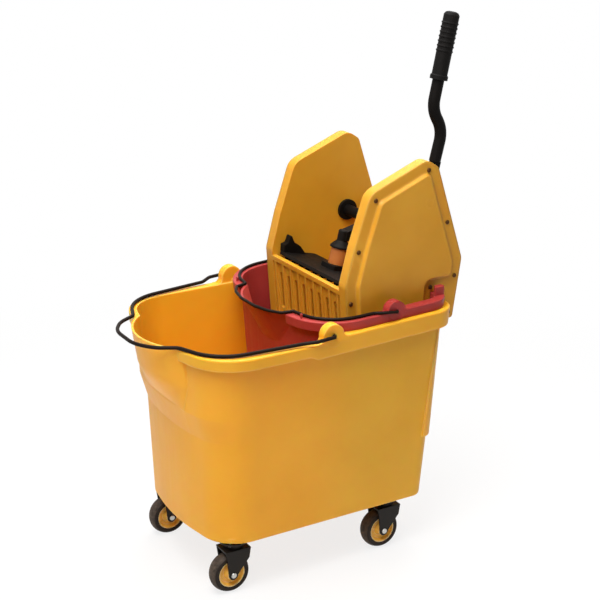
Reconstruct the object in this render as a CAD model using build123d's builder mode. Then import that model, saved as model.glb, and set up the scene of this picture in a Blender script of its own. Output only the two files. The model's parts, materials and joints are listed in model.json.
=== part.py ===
# Mop bucket trolley with a red inner bucket and a down-press wringer, in millimetres.
# X runs along the trolley, spout at -X and wringer at +X; Y runs across it; Z is up from the ground.
import os
from math import acos, atan2, cos, degrees, pi, radians, sin, tan

from build123d import *

# Castors
wheel_radius = 37.5
wheel_base = 322.0
wheel_track = 252.0
castor_trail = 10.5  # from the axle to the swivel axis
hub_radius = 25.5
hub_boss_radius = 9.5
hub_dish_radius = 20.0
hub_dish_floor_radius = 13.7
hub_dish_half_width = 5.0
hub_half_width = 12.5
tyre_half_width = 14.0
tyre_shoulder_radius = 33.5
tyre_bulge_radius = 31.0
axle_radius = 4.0
axle_head_radius = 5.2
axle_head_height = 2.6
axle_head_edge = 1.8
axle_nut_flats = 13.0
axle_nut_height = 6.0
fork_gap = 34.0  # between the two legs
fork_sheet = 2.5
fork_top_width = 50.0
fork_waist_width = 44.0
fork_waist_height = 66.0
fork_end_radius = 9.0
fork_bridge_top = 85.5
race_radius = 15.0
race_height = 5.5
king_pin_radius = 6.0
king_pin_head_radius = 9.5
king_pin_head_height = 3.5
castor_plate_radius = 26.0
castor_plate_sheet = 3.0
castor_screw_circle = 20.0
castor_screw_radius = 2.5
castor_screw_head_radius = 4.5
castor_screw_head_height = 2.5
castor_screw_grip = 9.0  # length held in the tub's floor
running_clearance = 0.05  # on radius, for everything that turns on a pin
seat_gap = 0.3  # between pieces that rest on each other or pass close by

# Tub
tub_underside = 100.0
tub_wall = 4.0
tub_base_edge = 6.0
rim_height = 466.0  # top of the front rim
base_half_width = 157.5
rim_half_width = 180.0
base_rear = 240.0
rim_rear = 264.5
base_apex = -205.0
rim_apex = -227.0
base_kink_x = -201.0
base_kink_y = 60.0
rim_kink_x = -221.0
rim_kink_y = 92.0
base_corner_x = -186.0
rim_corner_x = -201.0
base_corner_radius = 70.0
rim_corner_radius = 80.0
base_rear_radius = 22.0
rim_rear_radius = 28.0
front_waist = 298.0  # height at which the front wall starts to step out
front_shoulder = 346.0
front_step = 12.0
castor_pad_height = 8.0
flange_width = 15.0
front_flange_width = 10.0
flange_wall = 3.5
flange_edge = 3.0
rim_web = 4.0
front_band = 21.0
rear_band = 33.0
band_step_x = -30.0
rear_rim_height = 472.5  # at the ears
rear_rim_slope = 2.0  # degrees, rising to the rear
tub_ear_x = 15.0
tub_ear_lift = 4.5  # bail hole above the rear rim
tub_ear_radius = 20.5
tub_ear_inner = 178.0
tub_ear_skin = 4.0  # left behind the blind bail hole
tub_ear_foot = 34.0
tub_ear_fillet = 9.0
spout_apex = -264.0
spout_kink_x = -228.0
spout_wall = 3.5
spout_flare = 30.0  # how far the sides of the lip spread where they run into the wall
spout_bend = 396.0  # height at which the spout's face turns in to the wall
spout_bend_apex = -252.0
spout_bend_kink_x = -218.5
spout_bend_half_width = 96.0
spout_bend_flare = 20.0
spout_bend_radius = 60.0
spout_foot = 346.0
spout_foot_half_width = 80.0
spout_foot_depth = 2.0  # how far the spout starts inside the front wall
rear_panel_foot = 227.0
rear_panel_proud = 5.5  # at its foot
rear_panel_top_proud = 1.0
rear_panel_reach = 14.0

# Tub bail
tub_wire_radius = 3.3
tub_wire_ear_gap = 2.7  # between the wire and the outside of the ear
tub_wire_ear_bend = 4.2
tub_wire_step_x = -22.0  # where the wire turns in to the rim
tub_wire_step_z = 475.0
tub_wire_seat_x = -42.0
tub_wire_seat_z = 472.0
tub_wire_seat_inset = 5.0
tub_wire_step_bend = 14.0
tub_wire_corner_x = -200.0
tub_wire_corner_in = 6.0
tub_wire_corner_bend = 85.0
tub_wire_kink_bend = 22.0
tub_loop_flank_out = 35.0
tub_loop_flank_in = 20.0
tub_loop_flank_bend = 60.0
tub_loop_apex = -289.0
tub_loop_half_width = 36.0
tub_loop_bend = 70.0

# Red bucket
red_base = 150.0
red_wall = 3.5
red_base_edge = 6.0
red_reference = 480.0  # height at which the rim sizes are given
red_base_half_width = 151.0
red_rim_half_width = 171.0
red_base_rear = 237.0
red_rim_rear = 256.0
red_base_apex = 13.0
red_rim_apex = -8.0
red_base_kink_x = 16.0
red_base_kink_y = 60.0
red_rim_kink_x = -3.0
red_rim_kink_y = 85.0
red_base_corner_x = 26.0
red_rim_corner_x = 10.0
red_base_corner_radius = 65.0
red_rim_corner_radius = 82.0
red_base_rear_radius = 20.0
red_rim_rear_radius = 24.0
red_flange_width = 15.0
red_flange_wall = 3.0
red_flange_edge = 1.5
red_web = 3.5
red_band = 17.0
red_spout_apex = -42.0
red_spout_foot = 405.0
red_spout_foot_half_width = 45.0
red_ear_x = 150.0
red_ear_radius = 18.5
red_ear_inner = 169.0
red_ear_outer = 187.0
post_length = 22.0
post_width = 12.0
post_height = 16.0
post_y = 158.0
post_edge = 3.0

# Red bail
red_wire_radius = 2.8
red_wire_ear_gap = 1.2
red_wire_ear_bend = 4.0
red_wire_step = 24.0
red_wire_step_bend = 6.0
red_wire_seat_x = 108.0
red_wire_seat_out = 7.0
red_wire_seat_bend = 12.0
red_wire_corner_out = 1.5
red_wire_corner_bend = 78.0
red_wire_kink_out = 3.0
red_wire_kink_bend = 5.0
red_loop_start_x = -25.0
red_loop_start_y = 83.0
red_loop_start_bend = 8.0
red_loop_flank_x = -39.0
red_loop_flank_y = 60.0
red_loop_flank_bend = 20.0
red_loop_apex = -47.0
red_loop_half_width = 24.0
red_loop_bend = 24.0
nib_x = -3.0  # small nib in front of the wire, at each end of its loop
nib_y = 118.0
nib_depth = 3.5
nib_width = 4.0
nib_height = 7.5

# Wringer body
cheek_inner = 118.5  # half the width between the cheeks
cheek_skin = 2.5
cheek_depth = 21.0  # from the inner face out to the cover
cheek_edge_wall = 3.0
cheek_foot_x = 81.0
cheek_foot_z = 398.0
cheek_wide_x = 71.0
cheek_wide_z = 538.0
cheek_mid_x = 89.0
cheek_mid_z = 606.0
cheek_shoulder_x = 121.0
cheek_shoulder_z = 700.0
cheek_apex_x = 239.0
cheek_apex_z = 747.0
cheek_back_x = 263.0
cheek_back_z = 731.0
cheek_rear_x = 321.0
cheek_rear_z = 554.0
hook_foot_x = 304.0
hook_foot_z = 441.0
hook_inner_x = 284.5  # face behind the tub's rear rim
cheek_bends = [10, 25, 80, 30, 24, 14, 24, 6, 4, 0, 0, 8]  # corner radii, in the order of the outline
floor_rear_z = 452.0
wringer_fit = 0.6  # between the wringer's rear wall and the red bucket
moulded_wall = 4.0
front_wall_top = 527.0
front_wall_setback = 4.0
top_rail_height = 10.0
top_rail_depth = 9.5
rib_count = 9
rib_pitch = 27.6
rib_width = 5.0
drain_slot_width = 9.0
drain_slot_length = 72.0
drain_slot_centre = 462.0
floor_slot_width = 8.0
floor_slot_length = 38.0
floor_slot_rows = 3
floor_slot_pitch = 48.0
rear_wall_top = 600.0

# Cheek covers and their screws
cover_sheet = 2.5
panel_inset = 20.0  # raised panel in from the cheek's outline
panel_rear_x = 297.0
panel_notch_x = 240.0
panel_notch_z = 523.0
panel_foot_x = 237.0
panel_foot_z = 467.0
panel_bends = [10, 20, 62, 16, 10, 6, 14, 8, 12, 8]
panel_height = 7.0
panel_draft = 30.0
cover_screw_radius = 1.8
cover_screw_head_radius = 4.2
cover_screw_head_height = 2.0
cover_screw_grip = 10.0
screw_boss_radius = 4.5
cover_screw_spots = [
    (242, 728),
    (131, 687.5),
    (97, 599),
    (82, 506),
    (93, 418),
    (238, 464),
    (252.5, 508.5),
    (295, 453),
    (306, 522),
    (286, 626),
]

# Cross shaft and bushes
shaft_x = 237.0
shaft_z = 594.0
shaft_radius = 10.5
shaft_end = 130.5
shaft_chamfer = 1.0
bush_disc_radius = 20.0
bush_disc_width = 6.0
bush_sleeve_radius = 14.0

# Gearing inside the near cheek
gear_module = 4.0
pinion_teeth = 12
sector_teeth = 26  # on the full circle
gear_width = 8.0
gear_backlash = 0.5
pressure_angle = 25.0
gear_addendum = 3.2
gear_dedendum = 4.4
gear_line = 85.5  # degrees, from the shaft up to the lever's pivot
sector_hub_radius = 19.0
sector_teeth_before = 1
sector_teeth_after = 3

# Press
press_hub_width = 38.0
press_hub_radius = 18.0
press_web_width = 22.0
press_foot_radius = 17.5
press_seat_radius = 16.5
press_seat_height = 40.0  # top of the foot above the plate
bell_radius = 20.0
bell_rim = 3.0
bell_height = 14.0
neck_radius = 10.0
neck_top = 74.0  # above the plate
neck_edge = 2.0
plate_front_x = 84.0
plate_front_z = 536.0
plate_depth = 81.0
plate_slope = 13.5  # degrees, falling to the rear
plate_thickness = 6.0
plate_half_span = 114.0
plate_pad_half_width = 22.0
plate_pad_front = 35.0
plate_pad_height = 9.0
plate_fin_count = 9
plate_fin_pitch = 25.0
plate_fin_width = 4.0
plate_fin_depth = 8.0
plate_fin_inset = 8.0
horn_width = 14.0
horn_front_x = 86.0
horn_toe = (87.0, 549.0)
horn_heel = (96.0, 552.0)
horn_tip = (102.5, 568.0)
horn_notch = (109.5, 551.0)
horn_shoulder = (115.0, 547.5)
horn_slope = (123.0, 541.0)
horn_rear_x = 137.0
horn_edge = 2.0
press_screw_radius = 2.4
press_screw_head_radius = 5.0
press_screw_head_height = 2.5
press_screw_spacing = 16.0
press_screw_length = 56.0
press_screw_at = 57.5  # along the plate from its front edge

# Lever
lever_pin_radius = 6.0
lever_pin_boss_radius = 10.0
lever_pin_end = 145.5
lever_y = 132.0
lever_tube_radius = 10.5
lever_tube_wall = 2.0
lever_lean = 75.5  # degrees from the ground where the tube leaves the cheek
lever_swing = 88.0  # degrees to the rear
lever_tube_start = 72.0  # from the pivot
lever_tang_width = 20.0
lever_tang_thickness = 8.0
lever_plug_length = 24.0
lever_first_bend_x = 275.0
lever_first_bend_z = 794.0
lever_second_bend_x = 252.5
lever_second_bend_z = 834.0
lever_bend_radius = 50.0
lever_top_x = 287.3
lever_top_z = 994.0
slot_side_gap = 3.0
grip_length = 118.0
grip_end_wall = 6.0
grip_radius = 13.9
grip_flange_radius = 15.8
grip_flange_width = 7.0
grip_ring_count = 7
grip_ring_pitch = 8.0
grip_ring_width = 4.0
grip_ring_height = 1.1
grip_ring_start = 48.0
grip_dome = 6.0
grip_dome_radius = 11.1
grip_dome_step = 1.8
grip_tip_radius = 6.2
lug_height = 5.0
lug_width = 5.0

reach = 400.0  # longer than anything a profile has to cross


def between(low, high, fraction):
    return low + (high - low) * fraction


def polar(centre, radius, angle):
    return (centre[0] + radius * cos(radians(angle)), centre[1] + radius * sin(radians(angle)))


def near_plane(distance):
    # upright plane at y = -distance seen from the near side: local x is X, local y is Z
    return Plane(origin=(0, -distance, 0), x_dir=(1, 0, 0), z_dir=(0, -1, 0))


def both_sides(inner, outer):
    # planes from which one extrude of (outer - inner) fills that depth on the near and the far side
    return near_plane(inner), near_plane(-outer)


def upright(*points):
    with BuildSketch(Plane.XZ) as profile:
        with BuildLine():
            Polyline(*points, close=True)
        make_face()
    return profile.sketch


def rear_rim(x):
    return rear_rim_height + tan(radians(rear_rim_slope)) * (x - tub_ear_x)


def red_rim(x):
    return rear_rim(x) + seat_gap + red_band


def hull_section(height, apex, kink_x, kink_y, corner_x, half_width, rear, corner_radius, rear_radius):
    with BuildSketch(Plane.XY.offset(height)) as section:
        with BuildLine():
            ThreePointArc((kink_x, -kink_y), (apex, 0), (kink_x, kink_y))
            FilletPolyline(
                (kink_x, kink_y),
                (corner_x, half_width),
                (rear, half_width),
                (rear, -half_width),
                (corner_x, -half_width),
                (kink_x, -kink_y),
                radius=[corner_radius, rear_radius, rear_radius, corner_radius],
            )
        make_face()
    return section.sketch


def wall_at(base, rim, height):
    # a size of the tub's wall at this height, from its values at the base and the rim
    return between(base, rim, (height - tub_underside) / (rim_height - tub_underside))


def front_at(base, rim, height):
    # the same for the front wall, which steps out between its waist and its shoulder
    stepped = min(1, max(0, (height - front_waist) / (front_shoulder - front_waist)))
    return wall_at(base, rim + front_step, height) - front_step * stepped


def tub_section(height, grow):
    front_grow = grow * front_flange_width / flange_width if grow > 0 else grow
    return hull_section(
        height,
        front_at(base_apex, rim_apex, height) - front_grow,
        front_at(base_kink_x, rim_kink_x, height) - front_grow,
        wall_at(base_kink_y, rim_kink_y, height),
        front_at(base_corner_x, rim_corner_x, height) - front_grow,
        wall_at(base_half_width, rim_half_width, height) + grow,
        wall_at(base_rear, rim_rear, height) + grow,
        wall_at(base_corner_radius, rim_corner_radius, height) + grow,
        wall_at(base_rear_radius, rim_rear_radius, height) + grow,
    )


def red_section(height, grow):
    part_way = (height - red_base) / (red_reference - red_base)
    return hull_section(
        height,
        between(red_base_apex, red_rim_apex, part_way) - grow,
        between(red_base_kink_x, red_rim_kink_x, part_way) - grow,
        between(red_base_kink_y, red_rim_kink_y, part_way),
        between(red_base_corner_x, red_rim_corner_x, part_way) - grow,
        between(red_base_half_width, red_rim_half_width, part_way) + grow,
        between(red_base_rear, red_rim_rear, part_way) + grow,
        between(red_base_corner_radius, red_rim_corner_radius, part_way) + grow,
        between(red_base_rear_radius, red_rim_rear_radius, part_way) + grow,
    )


def spout_section(height, apex, kink_x, half_width, back_x, flare=0.0):
    back_width = half_width + flare
    with BuildSketch(Plane.XY.offset(height)) as section:
        with BuildLine():
            ThreePointArc((kink_x, -half_width), (apex, 0), (kink_x, half_width))
            Polyline((kink_x, half_width), (back_x, back_width), (back_x, -back_width), (kink_x, -half_width))
        make_face()
    return section.sketch


def spout_sections(inset):
    # the spout from its foot in the front wall up to its lip, drawn in by an inset for the inside
    foot_apex = front_at(base_apex, rim_apex, spout_foot) + spout_foot_depth + inset
    foot_kink_x = foot_apex + spout_foot_depth
    foot_width = spout_foot_half_width - inset
    bend_apex = spout_bend_apex + inset
    bend_kink_x = spout_bend_kink_x + inset
    bend_width = spout_bend_half_width - inset
    lip_kink_x = spout_kink_x + inset
    lip_width = rim_kink_y - inset
    back = base_corner_x
    return [
        spout_section(spout_foot + inset, foot_apex, foot_kink_x, foot_width, back, spout_bend_flare),
        spout_section(spout_bend + inset / 2, bend_apex, bend_kink_x, bend_width, back, spout_bend_flare),
        spout_section(rim_height, spout_apex + inset, lip_kink_x, lip_width, back, spout_flare),
    ]


def red_inner_rear(height):
    return between(red_base_rear, red_rim_rear, (height - red_base) / (red_reference - red_base)) - red_wall


def keep(piece, name):
    piece.part.label = name
    export_step(piece.part, f"parts/{name}.step")


os.makedirs("parts", exist_ok=True)
castor_spots = {
    "front_near": (-wheel_base / 2 + castor_trail, -wheel_track / 2),
    "front_far": (-wheel_base / 2 + castor_trail, wheel_track / 2),
    "rear_near": (wheel_base / 2 + castor_trail, -wheel_track / 2),
    "rear_far": (wheel_base / 2 + castor_trail, wheel_track / 2),
}
loft_top = rear_rim(rim_rear) + 2 * flange_width
band_foot = front_shoulder
tub_ear_z = rear_rim(tub_ear_x) + tub_ear_lift
tub_ear_outer = rim_half_width + flange_width
tub_ear_width = tub_ear_outer - tub_ear_inner
red_ear_z = red_rim(red_ear_x)

# Rolled rim of the tub, front and rear stretch, before it is hollowed from below
with BuildPart() as front_rim:
    loft(sections=[tub_section(band_foot, flange_width), tub_section(loft_top, flange_width)], ruled=True)
    front_stretch = upright(
        (-reach, rim_height - front_band),
        (band_step_x, rim_height - front_band),
        (band_step_x + flange_width, rear_rim(band_step_x) - rear_band),
        (tub_ear_x, rear_rim(tub_ear_x) - rear_band),
        (tub_ear_x, rim_height),
        (-reach, rim_height),
    )
    extrude(to_extrude=front_stretch, amount=reach, both=True, mode=Mode.INTERSECT)
    with BuildSketch(Plane.XY.offset(band_foot)):
        with Locations((-reach / 2 + rim_corner_x + flange_width, 0)):
            Rectangle(reach, 2 * (rim_kink_y - flange_wall))
    extrude(amount=loft_top - band_foot, mode=Mode.SUBTRACT)
    front_edges = front_rim.faces().sort_by(Axis.Z)[-1].edges()
    fillet(front_edges.filter_by(lambda edge: abs(edge.center().Y) > rim_kink_y + 1), flange_edge)

with BuildPart() as rear_rim_band:
    loft(sections=[tub_section(band_foot, flange_width), tub_section(loft_top, flange_width)], ruled=True)
    rear_stretch = upright(
        (tub_ear_x, rear_rim(tub_ear_x) - rear_band),
        (reach, rear_rim(reach) - rear_band),
        (reach, rear_rim(reach)),
        (tub_ear_x, rear_rim(tub_ear_x)),
    )
    extrude(to_extrude=rear_stretch, amount=reach, both=True, mode=Mode.INTERSECT)
    rear_edges = rear_rim_band.faces().sort_by(Axis.Z)[-1].edges()
    fillet(rear_edges.filter_by(lambda edge: edge.center().X > tub_ear_x + 1), flange_edge)

# The space under the rolled rim
with BuildPart() as rim_hollow:
    hollow_width = flange_width - flange_wall
    loft(sections=[tub_section(band_foot, hollow_width), tub_section(loft_top, hollow_width)], ruled=True)
    under = upright(
        (-reach, band_foot),
        (reach, band_foot),
        (reach, rear_rim(reach) - rim_web),
        (tub_ear_x, rear_rim(tub_ear_x) - rim_web),
        (tub_ear_x, rim_height - rim_web),
        (-reach, rim_height - rim_web),
    )
    extrude(to_extrude=under, amount=reach, both=True, mode=Mode.INTERSECT)
    with BuildSketch(Plane.XY.offset(band_foot)):
        with Locations((-reach / 2 + rim_corner_x + flange_width, 0)):
            Rectangle(reach, 2 * (rim_kink_y + flange_wall))
    extrude(amount=loft_top - band_foot, mode=Mode.SUBTRACT)

with BuildPart() as tub_hull:
    hull_heights = [tub_underside, front_waist, front_shoulder, loft_top]
    loft(sections=[tub_section(height, 0) for height in hull_heights], ruled=True)
    fillet(tub_hull.faces().sort_by(Axis.Z)[0].edges(), tub_base_edge)

with BuildPart() as rear_panel:
    panel_low = tub_section(rear_panel_foot, rear_panel_proud)
    panel_high = tub_section(rim_height, rear_panel_top_proud)
    loft(sections=[panel_low, panel_high], ruled=True)
    panel_region = upright(
        (base_rear - rear_panel_reach, rear_panel_foot),
        (reach, rear_panel_foot),
        (reach, rim_height - rim_web),
        (rim_rear - rear_panel_reach, rim_height - rim_web),
    )
    extrude(to_extrude=panel_region, amount=reach, both=True, mode=Mode.INTERSECT)

with BuildPart() as spout:
    loft(sections=spout_sections(0), ruled=True)
    bend_edges = spout.edges().filter_by(GeomType.CIRCLE)
    fillet(bend_edges.filter_by(lambda edge: abs(edge.center().Z - spout_bend) < 1), spout_bend_radius)

with BuildPart() as tub:
    add(front_rim.part)
    add(rear_rim_band.part)
    add(rim_hollow.part, mode=Mode.SUBTRACT)
    add(tub_hull.part)
    add(rear_panel.part)
    add(spout.part)
    above_rim = upright(
        (-reach, rim_height),
        (tub_ear_x, rim_height),
        (tub_ear_x, rear_rim(tub_ear_x)),
        (reach, rear_rim(reach)),
        (reach, 2 * reach),
        (-reach, 2 * reach),
    )
    extrude(to_extrude=above_rim, amount=reach, both=True, mode=Mode.SUBTRACT)
    with BuildSketch(*both_sides(tub_ear_inner, tub_ear_outer)) as ears:
        with BuildLine():
            Polyline(
                (tub_ear_x - tub_ear_foot, rim_height),
                (tub_ear_x, rim_height),
                (tub_ear_x, rear_rim(tub_ear_x)),
                (tub_ear_x + tub_ear_foot, rear_rim(tub_ear_x + tub_ear_foot)),
                (tub_ear_x + tub_ear_foot, rim_height - flange_wall),
                (tub_ear_x - tub_ear_foot, rim_height - flange_wall),
                close=True,
            )
        make_face()
        with Locations((tub_ear_x, tub_ear_z)):
            Circle(tub_ear_radius)
        foot_corners = ears.vertices().filter_by(
            lambda corner: corner.Y > rim_height - 1 and abs(corner.X - tub_ear_x) < tub_ear_foot - 1
        )
        fillet(foot_corners, tub_ear_fillet)
    extrude(amount=tub_ear_width)
    cavity_heights = [tub_underside + tub_wall, front_waist, front_shoulder, loft_top]
    cavity = [tub_section(height, -tub_wall) for height in cavity_heights]
    loft(sections=cavity, ruled=True, mode=Mode.SUBTRACT)
    loft(sections=spout_sections(spout_wall), ruled=True, mode=Mode.SUBTRACT)
    with BuildSketch(*both_sides(tub_ear_inner + tub_ear_skin, tub_ear_outer)):
        with Locations((tub_ear_x, tub_ear_z)):
            Circle(tub_wire_radius + running_clearance)
    extrude(amount=tub_ear_width - tub_ear_skin, mode=Mode.SUBTRACT)
    with BuildSketch(Plane.XY.offset(tub_underside + tub_wall)):
        with Locations(*castor_spots.values()):
            Circle(castor_plate_radius)
    extrude(amount=castor_pad_height)
    with BuildSketch(Plane.XY.offset(tub_underside)):
        for spot in castor_spots.values():
            with Locations(spot):
                with PolarLocations(castor_screw_circle, 4, start_angle=45):
                    Circle(castor_screw_radius + running_clearance)
    extrude(amount=castor_screw_grip + seat_gap, mode=Mode.SUBTRACT)
keep(tub, "tub")

# Castors
bridge_under = fork_bridge_top - fork_sheet
race_top = fork_bridge_top + race_height
plate_foot = tub_underside - castor_plate_sheet
for castor_name, (swivel_x, swivel_y) in castor_spots.items():
    axle_x = swivel_x - castor_trail
    upright_axis = Plane(origin=(swivel_x, swivel_y, 0), x_dir=(1, 0, 0), z_dir=(0, -1, 0))
    across = Plane(origin=(axle_x, swivel_y, wheel_radius), x_dir=(0, 1, 0), z_dir=(1, 0, 0))
    axle_line = Axis((axle_x, swivel_y, wheel_radius), (0, 1, 0))

    with BuildPart() as castor_plate:
        with BuildSketch(upright_axis):
            with BuildLine():
                Polyline(
                    (0, bridge_under - seat_gap - king_pin_head_height),
                    (king_pin_head_radius, bridge_under - seat_gap - king_pin_head_height),
                    (king_pin_head_radius, bridge_under - seat_gap),
                    (king_pin_radius, bridge_under - seat_gap),
                    (king_pin_radius, race_top + seat_gap),
                    (race_radius, race_top + seat_gap),
                    (race_radius, plate_foot),
                    (castor_plate_radius, plate_foot),
                    (castor_plate_radius, tub_underside),
                    (0, tub_underside),
                    close=True,
                )
            make_face()
        revolve(axis=Axis((swivel_x, swivel_y, 0), (0, 0, 1)))
        with BuildSketch(Plane.XY.offset(plate_foot)):
            with Locations((swivel_x, swivel_y)):
                with PolarLocations(castor_screw_circle, 4, start_angle=45):
                    Circle(castor_screw_radius + running_clearance)
        extrude(amount=castor_plate_sheet, mode=Mode.SUBTRACT)
    keep(castor_plate, f"castor_plate_{castor_name}")

    with BuildPart() as castor_fork:
        leg_outer = fork_gap / 2 + fork_sheet
        with BuildSketch(Plane.XY.offset(bridge_under)):
            with Locations((swivel_x, swivel_y)):
                Rectangle(fork_top_width, 2 * leg_outer)
        extrude(amount=fork_sheet)
        with BuildSketch(Plane.XY.offset(fork_bridge_top)):
            with Locations((swivel_x, swivel_y)):
                Circle(race_radius)
        extrude(amount=race_height)
        leg_planes = (near_plane(-swivel_y + fork_gap / 2), near_plane(-swivel_y - leg_outer))
        with BuildSketch(*leg_planes):
            with BuildLine():
                Polyline(
                    (axle_x - fork_end_radius, wheel_radius),
                    (swivel_x - fork_waist_width / 2, fork_waist_height),
                    (swivel_x - fork_top_width / 2, fork_bridge_top),
                    (swivel_x + fork_top_width / 2, fork_bridge_top),
                    (swivel_x + fork_waist_width / 2, fork_waist_height),
                    (axle_x + fork_end_radius, wheel_radius),
                )
                ThreePointArc(
                    (axle_x + fork_end_radius, wheel_radius),
                    (axle_x, wheel_radius - fork_end_radius),
                    (axle_x - fork_end_radius, wheel_radius),
                )
            make_face()
            with Locations((axle_x, wheel_radius)):
                Circle(axle_radius + running_clearance, mode=Mode.SUBTRACT)
        extrude(amount=fork_sheet)
        with BuildSketch(Plane.XY.offset(bridge_under)):
            with Locations((swivel_x, swivel_y)):
                Circle(king_pin_radius + running_clearance)
        extrude(amount=race_top - bridge_under, mode=Mode.SUBTRACT)
    keep(castor_fork, f"castor_fork_{castor_name}")

    with BuildPart() as castor_hub:
        with BuildSketch(across):
            with BuildLine():
                Polyline(
                    (0, axle_radius + running_clearance),
                    (fork_gap / 2 - seat_gap, axle_radius + running_clearance),
                    (fork_gap / 2 - seat_gap, hub_boss_radius),
                    (hub_half_width, hub_boss_radius),
                    (hub_dish_half_width, hub_dish_floor_radius),
                    (hub_dish_half_width, hub_dish_radius),
                    (hub_half_width, hub_radius - tyre_half_width + hub_half_width),
                    (hub_half_width, hub_radius),
                    (0, hub_radius),
                    close=True,
                )
            make_face()
            mirror(about=Plane.YZ)
        revolve(axis=axle_line)
    keep(castor_hub, f"castor_hub_{castor_name}")

    with BuildPart() as castor_tyre:
        with BuildSketch(across):
            with BuildLine():
                Polyline(
                    (-hub_half_width, tyre_shoulder_radius),
                    (-tyre_half_width, tyre_bulge_radius),
                    (-hub_half_width, hub_radius),
                    (hub_half_width, hub_radius),
                    (tyre_half_width, tyre_bulge_radius),
                    (hub_half_width, tyre_shoulder_radius),
                )
                ThreePointArc(
                    (hub_half_width, tyre_shoulder_radius),
                    (0, wheel_radius),
                    (-hub_half_width, tyre_shoulder_radius),
                )
            make_face()
        revolve(axis=axle_line)
    keep(castor_tyre, f"castor_tyre_{castor_name}")

    with BuildPart() as axle_bolt:
        with BuildSketch(near_plane(-swivel_y + leg_outer)):
            with Locations((axle_x, wheel_radius)):
                Circle(axle_head_radius)
        extrude(amount=axle_head_height)
        fillet(axle_bolt.faces().sort_by(Axis.Y)[0].edges(), axle_head_edge)
        with BuildSketch(near_plane(-swivel_y + leg_outer)):
            with Locations((axle_x, wheel_radius)):
                Circle(axle_radius)
        extrude(amount=-(2 * leg_outer + axle_nut_height))
    keep(axle_bolt, f"axle_bolt_{castor_name}")

    with BuildPart() as axle_nut:
        with BuildSketch(near_plane(-swivel_y - leg_outer)):
            with Locations((axle_x, wheel_radius)):
                RegularPolygon(axle_nut_flats / 2, 6, major_radius=False)
                Circle(axle_radius, mode=Mode.SUBTRACT)
        extrude(amount=-axle_nut_height)
    keep(axle_nut, f"axle_nut_{castor_name}")

with BuildPart() as castor_screws:
    for spot in castor_spots.values():
        with BuildSketch(Plane.XY.offset(plate_foot)):
            with Locations(spot):
                with PolarLocations(castor_screw_circle, 4, start_angle=45):
                    Circle(castor_screw_head_radius)
        extrude(amount=-castor_screw_head_height)
        with BuildSketch(Plane.XY.offset(plate_foot)):
            with Locations(spot):
                with PolarLocations(castor_screw_circle, 4, start_angle=45):
                    Circle(castor_screw_radius)
        extrude(amount=castor_plate_sheet + castor_screw_grip)
keep(castor_screws, "castor_screws")

# Tub bail: from ear to ear round the front rim, with a hand loop in front of the spout
tub_wire_z = rim_height + tub_wire_radius + seat_gap
tub_wire_side = tub_ear_outer + tub_wire_radius + tub_wire_ear_gap
tub_wire_kink_x = rim_kink_x - front_flange_width
tub_bail_half = [
    (tub_ear_x, -tub_ear_inner - tub_ear_skin - seat_gap, tub_ear_z),
    (tub_ear_x, -tub_wire_side, tub_ear_z),
    (tub_wire_step_x, -tub_wire_side, tub_wire_step_z),
    (tub_wire_seat_x, -tub_ear_outer + tub_wire_seat_inset, tub_wire_seat_z),
    (tub_wire_corner_x, -rim_half_width + tub_wire_corner_in, tub_wire_z),
    (tub_wire_kink_x, -rim_kink_y, tub_wire_z),
    (tub_wire_kink_x - tub_loop_flank_out, -rim_kink_y + tub_loop_flank_in, tub_wire_z),
    (tub_loop_apex, -tub_loop_half_width, tub_wire_z),
]
tub_bail_bends = [
    tub_wire_ear_bend,
    tub_wire_step_bend,
    tub_wire_step_bend,
    tub_wire_corner_bend,
    tub_wire_kink_bend,
    tub_loop_flank_bend,
    tub_loop_bend,
]
tub_bail_points = tub_bail_half + [(x, -y, z) for x, y, z in reversed(tub_bail_half)]
with BuildPart() as tub_bail:
    with BuildLine() as tub_bail_path:
        FilletPolyline(*tub_bail_points, radius=tub_bail_bends + tub_bail_bends[::-1])
    with BuildSketch(Plane(origin=tub_bail_path.line @ 0, z_dir=tub_bail_path.line % 0)):
        Circle(tub_wire_radius)
    sweep(path=tub_bail_path.line)
keep(tub_bail, "tub_bail")

# Rolled rim of the red bucket, before it is hollowed from below
red_band_foot = red_reference - 2 * red_band
red_loft_top = red_reference + 3 * red_band
with BuildPart() as red_rim_band:
    red_flange = [red_section(red_band_foot, red_flange_width), red_section(red_loft_top, red_flange_width)]
    loft(sections=red_flange, ruled=True)
    red_stretch = upright(
        (-reach, rear_rim(-reach) + seat_gap),
        (reach, rear_rim(reach) + seat_gap),
        (reach, red_rim(reach)),
        (-reach, red_rim(-reach)),
    )
    extrude(to_extrude=red_stretch, amount=reach, both=True, mode=Mode.INTERSECT)
    with BuildSketch(Plane.XY.offset(red_band_foot)):
        with Locations((-reach / 2 + red_rim_corner_x, 0)):
            Rectangle(reach, 2 * red_rim_kink_y + 2 * seat_gap)
    extrude(amount=red_loft_top - red_band_foot, mode=Mode.SUBTRACT)
    red_top_face = red_rim_band.faces().filter_by(lambda face: face.normal_at().Z > 0.9).sort_by(Axis.Z)[-1]
    red_edges = red_top_face.edges().filter_by(
        lambda edge: abs(edge.center().Y) > red_rim_kink_y + 1 or edge.center().X > red_ear_x
    )
    fillet(red_edges, red_flange_edge)

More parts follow.
